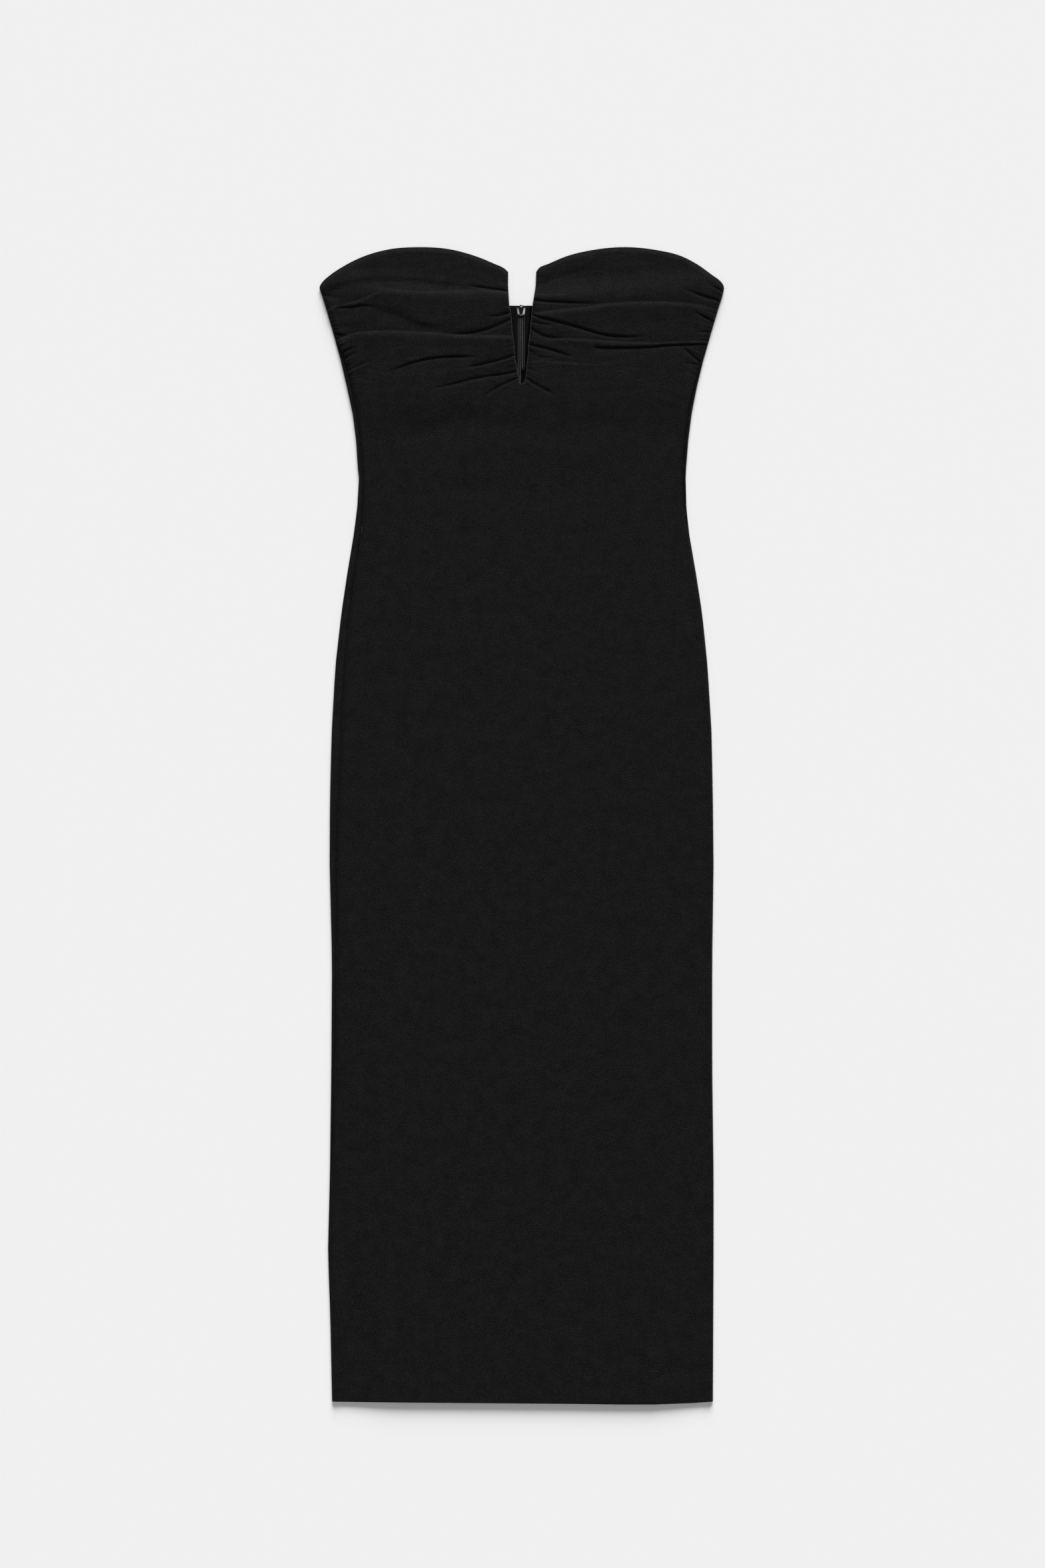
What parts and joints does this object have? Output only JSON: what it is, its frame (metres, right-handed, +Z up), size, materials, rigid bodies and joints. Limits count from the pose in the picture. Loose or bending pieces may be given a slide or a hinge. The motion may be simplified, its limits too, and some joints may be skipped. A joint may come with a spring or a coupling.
{
  "type": "midi dress",
  "caption": "Strapless midi dress laid flat face up, with a gathered sweetheart bust, deep front notch, straight column skirt and centre-back zip with a swinging pull.",
  "frame": {"origin": "on the surface that the dress lies on, under the middle of its bounding box", "axes": "+X across the dress towards the wearer's left, +Y from the hem towards the bust, +Z up off the surface, out of the front"},
  "size_m": [0.4138, 1.1802, 0.0083],
  "materials": {
    "crepe": "matte crepe",
    "zip_tape": "woven tape",
    "zip_coil": "moulded filament",
    "zip_metal": "dark satin"
  },
  "bodies": {
    "dress": {"front": "crepe", "back_left": "crepe", "back_right": "crepe", "zip_tape_left": "zip_tape", "zip_tape_right": "zip_tape", "zip_coil_left": "zip_coil", "zip_coil_right": "zip_coil", "zip_slider": "zip_metal"},
    "pull": {"zip_pull": "zip_metal"}
  },
  "joints": [
    {"name": "pull_swing", "type": "hinge", "parent": "dress", "child": "pull", "pos_m": [-0.0007, 0.52285, 0.00175], "axis": [1, 0, 0], "range_deg": [0, 170]}
  ]
}
